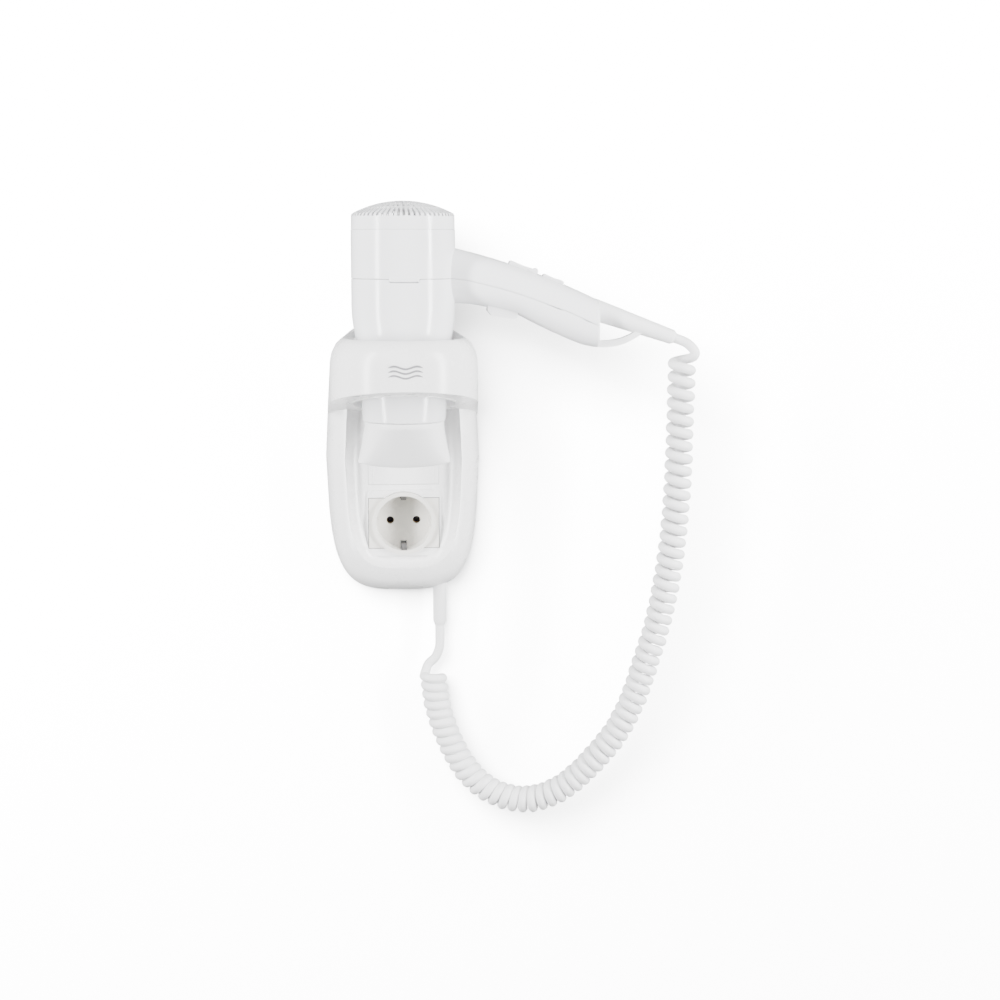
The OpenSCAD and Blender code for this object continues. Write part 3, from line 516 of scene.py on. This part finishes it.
def mica_flakes(tree, place):
    flakes = add_node(tree, "TexVoronoi", [(place, "Vector")], Scale=260.0)
    return flakes.outputs["Distance"]


strip_steel = metal("strip_steel", (0.36, 0.36, 0.37), 0.30, (1, 8, 1))
screw_steel = metal("screw_steel", (0.55, 0.56, 0.58), 0.32, (1, 1, 6))
contact_brass = metal("contact_brass", (0.34, 0.25, 0.12), 0.3, (1, 6, 1))
mica = patterned("mica_flakes", mica_flakes, ((0.62, 0.55, 0.42), (0.36, 0.27, 0.16)),
                 (0.3, 0.6), 0.3, 0.0002)
print("materials in all:", len(bpy.data.materials))

# %% [markdown]
# The CAD nodes that are the right shape stay and only change their surface. They arrive as
# loose flat faces, so a small node group welds them and sets which edges are sharp by angle.
# After it, a thin bevel catches the light along each moulded edge, as a real tool does.

# %% A node group that welds and smooths
WELD_DISTANCE = 2e-6


def smoothing_group(angle):
    group = bpy.data.node_groups.new("weld_and_smooth_" + str(angle), "GeometryNodeTree")
    group.interface.new_socket("Geometry", in_out="INPUT", socket_type="NodeSocketGeometry")
    group.interface.new_socket("Geometry", in_out="OUTPUT", socket_type="NodeSocketGeometry")
    start = group.nodes.new("NodeGroupInput")
    weld = group.nodes.new("GeometryNodeMergeByDistance")
    weld.inputs["Distance"].default_value = WELD_DISTANCE
    faces = group.nodes.new("GeometryNodeSetShadeSmooth")
    faces.domain = "FACE"
    bend = group.nodes.new("GeometryNodeInputMeshEdgeAngle")
    small = group.nodes.new("FunctionNodeCompare")
    small.operation = "LESS_THAN"
    small.inputs[1].default_value = math.radians(angle)
    edges = group.nodes.new("GeometryNodeSetShadeSmooth")
    edges.domain = "EDGE"
    end = group.nodes.new("NodeGroupOutput")
    group.links.new(start.outputs[0], weld.inputs["Geometry"])
    group.links.new(weld.outputs["Geometry"], faces.inputs["Geometry"])
    group.links.new(faces.outputs["Geometry"], edges.inputs["Geometry"])
    group.links.new(bend.outputs["Unsigned Angle"], small.inputs[0])
    group.links.new(small.outputs["Result"], edges.inputs["Shade Smooth"])
    group.links.new(edges.outputs["Geometry"], end.inputs[0])
    return group


smooth_30 = smoothing_group(30)
smooth_52 = smoothing_group(52)
print("node groups:", len(bpy.data.node_groups))

# %% Dress the CAD nodes
def dress(name, material, bevel=0.0, group=smooth_30):
    node = nodes[name]
    node.data.materials.clear()
    node.data.materials.append(material)
    smooth = node.modifiers.new("smooth", "NODES")
    smooth.node_group = group
    if bevel:
        edge = node.modifiers.new("edge", "BEVEL")
        edge.width = bevel * MM
        edge.segments = 2
        edge.limit_method = "ANGLE"
        edge.angle_limit = math.radians(40)
    return node


dress("wall_plate", key_white)
dress("holder_housing", holder_white, group=smooth_52)
dress("cradle_liner", holder_white)
dress("blank_cover", holder_white, 0.15)
dress("socket_face", socket_white)
dress("holder_relief", pvc_white, 0.3)
dress("handle_relief", pvc_white)
dress("intake_cap", abs_white)
dress("dust_filter", mesh_grey)
dress("holder_cord_clamp", key_white)
for name in ("trigger", "air_rocker", "heat_rocker"):
    dress(name, key_white, 0.5)
for name in ("socket_base", "terminal_block", "fan_duct", "fan_wheel", "outlet_grille",
             "trigger_switch", "rocker_block", "handle_cord_clamp"):
    dress(name, black_plastic)
for name in ("housing_screws", "terminal_screws", "holder_clamp_screws", "handle_screws",
             "motor_shaft", "thermal_cutout", "motor"):
    dress(name, screw_steel)
dress("earth_clip", strip_steel)
dress("heating_coils", strip_steel)
dress("contact_sleeves", contact_brass)
dress("heater_boards", mica)
dress("mica_sleeve", mica)
dress("suppressor", film_brown)
cord.data.materials.append(pvc_white)
print("dressed", len([n for n in nodes.values() if n.modifiers]), "CAD parts")

# %% [markdown]
# The barrel and handle are two mouldings that meet at a seam: the rear one holds the motor
# and the keys, and the front one the heater. Each is a turned barrel part and one half of a
# handle that is lofted through rounded sections. They could be cut out of one body, but then
# the seam would have no depth. Here each half ends in its own edge, a quarter of a millimetre
# from the other, with the wall folded inwards behind it. That gap is the fine grey line.

# %% Sizes shared by the two housings
AXIS_Y = -62.54
BARREL_R = 35.5
WALL = 2.2
OUTLET_Z = 31.5
SEAM_Z = 128.8
CAP_Z = 161.8
SEAM_GAP = 0.14
HANDLE_END = 134.0
HANDLE_HALF = 15.5
barrel_profile = [
    (28.4, 1.1), (29.3, 15.5), (30.5, 31), (31.9, 48), (32.6, 55.5), (33.9, 62), (34.7, 67),
    (35.2, 72), (35.45, 77), (35.5, 82), (35.5, 90),
]
low_edge_points = [
    (26, -16.2), (46, -17.6), (57, -19.6), (78, -24.8), (86, -28.8), (94, -32.8),
    (102, -36.6), (116, -42.8), (126, -46.2), (161, -52),
]
parting_points = [
    (26, 0), (34, 0), (45, -1.6), (61, -5.4), (79, -10.6), (95, -16.4), (111, -22.2),
    (128, -29.8), (161, -45),
]


def looked_up(x, table):
    """Smooth curve through the table's points, so that the handle has no kinks."""
    for i in range(len(table) - 1):
        if x <= table[i + 1][0] or i == len(table) - 2:
            break
    (x0, y0), (x1, y1) = table[i], table[i + 1]
    before, after = table[max(i - 1, 0)], table[min(i + 2, len(table) - 1)]
    m0 = (y1 - before[1]) / (x1 - before[0])
    m1 = (after[1] - y0) / (after[0] - x0)
    t = (x - x0) / (x1 - x0)
    h = x1 - x0
    return (y0 * (2 * t**3 - 3 * t**2 + 1) + m0 * h * (t**3 - 2 * t**2 + t)
            + y1 * (3 * t**2 - 2 * t**3) + m1 * h * (t**3 - t**2))


def top_edge(x):
    """Height of the handle's upper outline at the distance x from the barrel's axis."""
    return SEAM_Z + 20.1 - 0.235 * (x - 37) - 0.0013 * (x - 37) ** 2


def low_edge(x):
    return SEAM_Z + looked_up(x, low_edge_points)


def parting(x):
    return SEAM_Z + looked_up(x, parting_points)


print("handle height at its root:", round(top_edge(40) - low_edge(40), 1), "mm")

# %% The turned barrel parts
TURN_STEPS = 300
NOTCH_HALF = 10.0
NOTCH_DROP = 2.3
NOTCH_DEEP = 1.7
LATCH_PROUD = 0.3
LATCH_GAP = 0.5


def turned(profile_at):
    """Closed ring of profiles: profile_at gives the section's outline for each angle."""
    points = []
    for k in range(TURN_STEPS):
        a = 2 * math.pi * k / TURN_STEPS
        points += [(r * math.cos(a), AXIS_Y + r * math.sin(a), z) for r, z in profile_at(a)]
    size = len(points) // TURN_STEPS
    return points, strip_faces(TURN_STEPS, size, closed_columns=True, closed_rows=True)


def in_notch(a):
    return math.sin(a) < 0 and abs(BARREL_R * math.cos(a)) < NOTCH_HALF


def rear_barrel(a):
    """The upper part. At the front its latch tab reaches down into the notch, a little proud."""
    base, high = SEAM_Z + SEAM_GAP, CAP_Z - 0.12
    low = SEAM_Z - NOTCH_DROP + LATCH_GAP if in_notch(a) else base
    face = BARREL_R + LATCH_PROUD if in_notch(a) else BARREL_R
    return [
        (BARREL_R - WALL, base), (BARREL_R - 1.2, base), (BARREL_R - 1.2, low),
        (face - 0.3, low), (face - 0.08, low + 0.1), (face, low + 0.35), (face, base + 0.5),
        (BARREL_R, base + 0.9), (BARREL_R, base + 8), (BARREL_R, base + 20),
        (BARREL_R, high - 0.35), (BARREL_R - 0.08, high - 0.1), (BARREL_R - 0.3, high),
        (BARREL_R - WALL, high),
    ]


def front_barrel(a):
    """The lower part: its outlet, the outside up to the seam, and back down the inside."""
    top = SEAM_Z - SEAM_GAP - (NOTCH_DROP if in_notch(a) else 0)
    lip = SEAM_Z - SEAM_GAP - 0.05
    outer = [(r, OUTLET_Z + z) for r, z in barrel_profile]
    return [
        (24.6, OUTLET_Z - 5), (24.6, OUTLET_Z), (27.4, OUTLET_Z), (28.1, OUTLET_Z + 0.35),
    ] + outer + [
        (BARREL_R, top - 0.4), (BARREL_R - 0.08, top - 0.12), (BARREL_R - 0.3, top),
        (BARREL_R - NOTCH_DEEP, top), (BARREL_R - NOTCH_DEEP, lip), (BARREL_R - WALL, lip),
        (BARREL_R - WALL, SEAM_Z - 20), (31.0, OUTLET_Z + 57), (26.2, OUTLET_Z + 3),
        (23.4, OUTLET_Z + 1.6), (23.4, OUTLET_Z - 5),
    ]


rear_ring, front_ring = turned(rear_barrel), turned(front_barrel)
print("barrel sections:", len(rear_ring[0]) + len(front_ring[0]), "points")

# %% [markdown]
# The handle halves are grids of points: one row for each place along the handle, one column
# for each direction round the section. Rows and columns are laid exactly on the edges of the
# key and trigger openings, so an opening is made by leaving faces out and folding its border
# inwards, with no cutting. The last rows round the end over into a small lip.

# %% The outline of one section
SQUARENESS = 0.8


def section_point(x, angle, skin):
    """A point on the rounded section at x, lying the depth skin below the handle's surface."""
    hi, lo = top_edge(x) - skin, low_edge(x) + skin
    c, s = math.cos(angle), math.sin(angle)
    y = (HANDLE_HALF - skin) * math.copysign(abs(c) ** SQUARENESS, c)
    z = (hi + lo) / 2 + (hi - lo) / 2 * math.copysign(abs(s) ** SQUARENESS, s)
    return x, AXIS_Y + y, z


def angle_at_height(x, z, skin):
    hi, lo = top_edge(x) - skin, low_edge(x) + skin
    share = max(-0.98, min(0.98, (z - (hi + lo) / 2) / ((hi - lo) / 2)))
    return math.asin(math.copysign(abs(share) ** (1 / SQUARENESS), share))


def spread(a, b, n):
    return [a + (b - a) * i / n for i in range(n)]


print("a section reaches from", round(section_point(80, -math.pi / 2, 0)[2], 1), "to",
      round(section_point(80, math.pi / 2, 0)[2], 1), "mm at 80 mm")

# %% The rows along the handle
AIR_OPENING = (71.2, 92.6)
HEAT_OPENING = (94.4, 110.6)
TRIGGER_OPENING = (57.0, 78.6)
HANDLE_START = 30.5
ROW_STEP = 2.2
END_ROUND = 1.7
END_STEPS = 6
END_RECESS = 1.0


def stations():
    """Each row's distance from the axis, and how deep it lies below the surface."""
    marks = [HANDLE_START] + sorted(AIR_OPENING + HEAT_OPENING + TRIGGER_OPENING)
    marks += [HANDLE_END - END_ROUND]
    xs = []
    for a, b in zip(marks, marks[1:]):
        xs += spread(a, b, max(1, round((b - a) / ROW_STEP)))
    rows = [(x, 0.0) for x in xs]
    for k in range(END_STEPS + 1):
        turn = math.radians(90 * k / END_STEPS)
        rows.append((HANDLE_END - END_ROUND + END_ROUND * math.sin(turn),
                     END_ROUND * (1 - math.cos(turn))))
    rows.append((HANDLE_END - 0.1, END_ROUND + 0.5))
    rows.append((HANDLE_END - END_RECESS, END_ROUND + 0.9))
    return rows


handle_rows = stations()
print("rows along the handle:", len(handle_rows))

# %% One row of points round a half
KEY_HALF, TRIGGER_HALF = 6.0, 8.3
SIDE_STEPS, MID_STEPS = 15, 8
START_BELOW = -0.02
EDGE_TURN = 0.16
EDGE_SHARE = 0.3
TONGUE_RISE = 0.9


def half_row(x, skin, upper):
    """From one folded seam edge over the outside to the other; a tongue closes the seam."""
    sign = 1 if upper else -1
    half_open = KEY_HALF if upper else TRIGGER_HALF
    start = angle_at_height(x, parting(x) + sign * SEAM_GAP, skin)
    if not upper and start < 0:
        start = min(start, START_BELOW)
    share = (half_open / (HANDLE_HALF - skin)) ** (1 / SQUARENESS)
    edge = math.acos(min(0.999, share)) * sign
    other, last = sign * math.pi - edge, sign * math.pi - start
    angles = spread(start, edge, SIDE_STEPS) + spread(edge, other, MID_STEPS)
    angles += spread(other, last, SIDE_STEPS) + [last]
    ring = [section_point(x, a, skin) for a in angles]
    ends = []
    for tip, following, inward in ((ring[0], ring[1], -1), (ring[-1], ring[-2], 1)):
        fold_y = tip[1] + inward * WALL
        rise = 0 if upper else TONGUE_RISE
        ends.append([
            (x, fold_y + inward * 0.1, tip[2] + rise), (x, fold_y, tip[2]),
            (x, tip[1] + inward * EDGE_TURN, tip[2]),
            tuple(p + EDGE_SHARE * (q - p) for p, q in zip(tip, following)),
        ])
    return ends[0] + ring[1:-1] + ends[1][::-1]


print("points in a row:", len(half_row(60, 0, True)))

# %% One half of the handle
LOW_COLUMN = 3 + SIDE_STEPS
HIGH_COLUMN = LOW_COLUMN + MID_STEPS
FOLD_DEPTH = 3
KEY_LEAN, TRIGGER_LEAN = 20, 14


def opening_border(first, last, columns):
    """The points round an opening, in order."""
    loop = [first * columns + c for c in range(LOW_COLUMN, HIGH_COLUMN + 1)]
    loop += [r * columns + HIGH_COLUMN for r in range(first + 1, last + 1)]
    loop += [last * columns + c for c in range(HIGH_COLUMN - 1, LOW_COLUMN - 1, -1)]
    return loop + [r * columns + LOW_COLUMN for r in range(last - 1, first, -1)]


def half_handle(upper):
    sign = 1 if upper else -1
    openings = (AIR_OPENING, HEAT_OPENING) if upper else (TRIGGER_OPENING,)
    rows = [half_row(x, skin, upper) for x, skin in handle_rows]
    columns = len(rows[0])
    points = [p for row in rows for p in row]

    def is_open(r, c):
        x = (handle_rows[r][0] + handle_rows[r + 1][0]) / 2
        return LOW_COLUMN <= c < HIGH_COLUMN and any(a < x < b for a, b in openings)

    faces = strip_faces(len(rows), columns, skip=is_open)
    if not upper:
        faces = [face[::-1] for face in faces]
    lean = math.radians(KEY_LEAN if upper else TRIGGER_LEAN)
    inward = (-math.sin(lean) * sign * FOLD_DEPTH, 0, -math.cos(lean) * sign * FOLD_DEPTH)
    for a, b in openings:
        inside = [r for r, (x, _) in enumerate(handle_rows) if a - 0.01 <= x <= b + 0.01]
        loop = opening_border(inside[0], inside[-1], columns)
        base = len(points)
        points += [tuple(p + q for p, q in zip(points[i], inward)) for i in loop]
        for i in range(len(loop)):
            j = (i + 1) % len(loop)
            faces.append((loop[i], base + i, base + j, loop[j]))
    last_row = (len(rows) - 1) * columns
    faces.append(tuple(last_row + c for c in range(columns)))
    return points, faces


upper_half, lower_half = half_handle(True), half_handle(False)
print("points in the two halves:", len(upper_half[0]), len(lower_half[0]))

# %% [markdown]
# A barrel part and its half of the handle are put in one mesh. Lists of faces don't always
# run the same way round, and a face seen from behind would be shaded wrongly. So all faces are
# turned outwards once the mesh stands, and only then the sharp edges are set by their angle.

# %% The two housings
def join_parts(name, *parts):
    points, faces = [], []
    for p, f in parts:
        base = len(points)
        points += p
        faces += [tuple(i + base for i in face) for face in f]
    return mesh_piece(name, points, faces)


def face_outwards(piece):
    work = bmesh.new()
    work.from_mesh(piece.data)
    bmesh.ops.recalc_face_normals(work, faces=work.faces)
    work.to_mesh(piece.data)
    work.free()
    piece.data.set_sharp_from_angle(angle=math.radians(SMOOTH_ANGLE))


rear_shell = join_parts("rear_housing_skin", rear_ring, upper_half)
front_shell = join_parts("front_housing_skin", front_ring, lower_half)
for shell_piece, node_name in ((rear_shell, "rear_housing"), (front_shell, "front_housing")):
    face_outwards(shell_piece)
    shell_piece.data.materials.append(abs_white)
    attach(shell_piece, "dryer")
    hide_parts(node_name)
    print(shell_piece.name, len(shell_piece.data.polygons), "faces")

# %% [markdown]
# The concentrator turns a round stream into a flat one. A straight funnel hull would show a
# flat triangle on its front, which the real moulding does not. Here each section is a blend:
# it starts as a circle and ends as a rounded slot, and the width follows a gentle curve, so
# the sides flare. Every line down the wall is cut short where it meets the arched lip.

# %% Sizes of the concentrator
NOZZLE_TOP = 31.2
NOZZLE_R = 27.4
BORE_R = 24.68
BORE_DEPTH = 6.5
MOUTH_W, MOUTH_T = 66.0, 15.0
MOUTH_SQUARENESS = 0.34
FLARE = 1.25
FUNNEL_LENGTH = 28
FUNNEL_WALL = 2.0
THROAT_R = 23.4
LIP_ARCH = 4.0
NOZZLE_LOW = NOZZLE_TOP - FUNNEL_LENGTH - LIP_ARCH
LIP_R = ((MOUTH_W / 2) ** 2 + LIP_ARCH ** 2) / (2 * LIP_ARCH)


def lip_height(x):
    return NOZZLE_LOW + LIP_R - math.sqrt(LIP_R ** 2 - x ** 2)


print("the lip rises", round(lip_height(MOUTH_W / 2) - lip_height(0), 1), "mm to its ends")

# %% A point on the funnel
def funnel_point(angle, r, w, t, z_high, z_low, share):
    """A point on the funnel's wall: share runs from the round end to the arched lip."""
    c, s = math.cos(angle), math.sin(angle)
    mx = w / 2 * math.copysign(abs(c) ** MOUTH_SQUARENESS, c)
    my = t / 2 * math.copysign(abs(s) ** MOUTH_SQUARENESS, s)
    end = 1.0
    for _ in range(8):
        x = r * c + (mx - r * c) * end ** FLARE
        end = min(1.0, (z_high - lip_height(x)) / (z_high - z_low))
    k = share * end
    return (r * c + (mx - r * c) * k ** FLARE, AXIS_Y + r * s + (my - r * s) * k,
            z_high + (z_low - z_high) * k)


outer_mouth = funnel_point(0, NOZZLE_R, MOUTH_W, MOUTH_T, NOZZLE_TOP - 3, NOZZLE_LOW, 1.0)
print("half the mouth is", round(outer_mouth[0], 1), "mm wide")

# %% The concentrator
FUNNEL_COLUMNS = 180
FUNNEL_STEPS = 14
CROWDING = 0.24
LIP_ROUND = 0.12


def funnel_directions():
    """Directions round the funnel, closer together where the slot has its short ends."""
    even = [2 * math.pi * k / FUNNEL_COLUMNS for k in range(FUNNEL_COLUMNS)]
    return [a - CROWDING * math.sin(2 * a) for a in even]


def funnel_mesh():
    shares = [i / FUNNEL_STEPS for i in range(FUNNEL_STEPS + 1)]
    outer = (NOZZLE_R, MOUTH_W, MOUTH_T, NOZZLE_TOP - 3, NOZZLE_LOW)
    inner = (THROAT_R, MOUTH_W - 2 * FUNNEL_WALL, MOUTH_T - 2 * FUNNEL_WALL,
             NOZZLE_TOP - BORE_DEPTH, NOZZLE_LOW - 0.2)
    rows = []
    for angle in funnel_directions():
        c, s = math.cos(angle), math.sin(angle)
        ring = [(BORE_R * c, AXIS_Y + BORE_R * s, NOZZLE_TOP - BORE_DEPTH),
                (BORE_R * c, AXIS_Y + BORE_R * s, NOZZLE_TOP),
                ((NOZZLE_R - 0.5) * c, AXIS_Y + (NOZZLE_R - 0.5) * s, NOZZLE_TOP),
                (NOZZLE_R * c, AXIS_Y + NOZZLE_R * s, NOZZLE_TOP - 0.5)]
        ring += [funnel_point(angle, *outer, k * 0.985) for k in shares]
        x, y, z = funnel_point(angle, *outer, 1.0)
        ix, iy, _ = funnel_point(angle, *inner, 1.0)
        for share, height in ((LIP_ROUND, z), (1 - LIP_ROUND, lip_height(ix) + 0.05)):
            ring.append((x + (ix - x) * share, y + (iy - y) * share, height))
        ring += [funnel_point(angle, *inner, k * 0.975) for k in reversed(shares)]
        rows.append(ring)
    points = [p for ring in rows for p in ring]
    faces = strip_faces(len(rows), len(rows[0]), closed_rows=True, closed_columns=True)
    return points, faces


concentrator = mesh_piece("concentrator", *funnel_mesh())
face_outwards(concentrator)
concentrator.data.materials.append(nozzle_white)
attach(concentrator, "nozzle")
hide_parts("nozzle")
print("concentrator faces:", len(concentrator.data.polygons))

# %% [markdown]
# Two small things finish the front. A thin near-black strip lies deep in the joint around the
# socket module. It is painted shade: a dark piece that stands for the shadow in that gap, and it
# is what makes the joint read as a line. The ring carries a printed sign that shows what the
# device does: three streams of warm air, drawn as raised wavy strips of ink.

# %% The painted shade in the joint around the socket
SOCKET_Z = -45.6
MODULE_HALF_W, MODULE_HALF_H = 25.0, 17.9
COLLAR_R = 22.75
JOINT_SHADE_FRONT, JOINT_SHADE_BACK = -28.24, -26.6
JOINT_SHADE_T = 0.45


def bar(x0, x1, z0, z1, front, back):
    corners = [(x, y, z) for x in (x0, x1) for y in (front, back) for z in (z0, z1)]
    faces = [(0, 1, 3, 2), (4, 6, 7, 5), (0, 4, 5, 1), (2, 3, 7, 6), (0, 2, 6, 4), (1, 5, 7, 3)]
    return corners, faces


reach = math.sqrt(COLLAR_R ** 2 - MODULE_HALF_H ** 2) + 0.1
outer_x, outer_z = MODULE_HALF_W + JOINT_SHADE_T, MODULE_HALF_H + JOINT_SHADE_T
joint_shade_bars = []
for side in (-1, 1):
    x0, x1 = sorted((side * MODULE_HALF_W, side * outer_x))
    strips = [(x0, x1, SOCKET_Z - outer_z, SOCKET_Z + outer_z)]
    for end in (-1, 1):
        z0, z1 = sorted((SOCKET_Z + end * MODULE_HALF_H, SOCKET_Z + end * outer_z))
        xa, xb = sorted((side * reach, side * outer_x))
        strips.append((xa, xb, z0, z1))
    joint_shade_bars += [bar(*strip, JOINT_SHADE_FRONT, JOINT_SHADE_BACK) for strip in strips]
# These strips are painted shade: dark pieces set deep in the joint, where there is only shadow.
joint_shade = join_parts("socket_joint_shade", *joint_shade_bars)
face_outwards(joint_shade)
joint_shade.data.materials.append(joint_shade_grey)
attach(joint_shade, "wall_holder")
print("gasket strips:", len(joint_shade_bars))

# %% The airflow sign on the ring
RING_R = 51.1
SIGN_Z = 68.0
SIGN_HALF = 11.5
WAVE_HIGH = 0.9
STREAM_PITCH = 3.1
STREAM_T = 1.3
STREAM_STEPS = 72
WAVES = 1.5
INK = 0.05
INK_ROOT = 0.1


def stream(z_mid):
    """A wavy strip bent round the ring's front, a twentieth of a millimetre proud of it."""
    points = []
    back, front = RING_R - INK_ROOT, RING_R + INK
    for k in range(STREAM_STEPS + 1):
        share = k / STREAM_STEPS
        mid = z_mid + WAVE_HIGH * math.sin(2 * math.pi * WAVES * share)
        half = STREAM_T / 2 * min(1.0, 0.3 + 7 * min(share, 1 - share))
        turn = SIGN_HALF * (2 * share - 1) / RING_R
        for r, z in ((back, mid - half), (front, mid - half), (front, mid + half),
                     (back, mid + half)):
            points.append((r * math.sin(turn), AXIS_Y - r * math.cos(turn), z))
    faces = strip_faces(STREAM_STEPS + 1, 4, closed_columns=True)
    faces += [(0, 1, 2, 3), tuple(4 * STREAM_STEPS + j for j in (3, 2, 1, 0))]
    return points, faces


sign = join_parts("airflow_sign", *[stream(SIGN_Z + STREAM_PITCH * n) for n in (-1, 0, 1)])
face_outwards(sign)
sign.data.materials.append(print_grey)
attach(sign, "wall_holder")
print("sign:", len(sign.data.polygons), "faces")
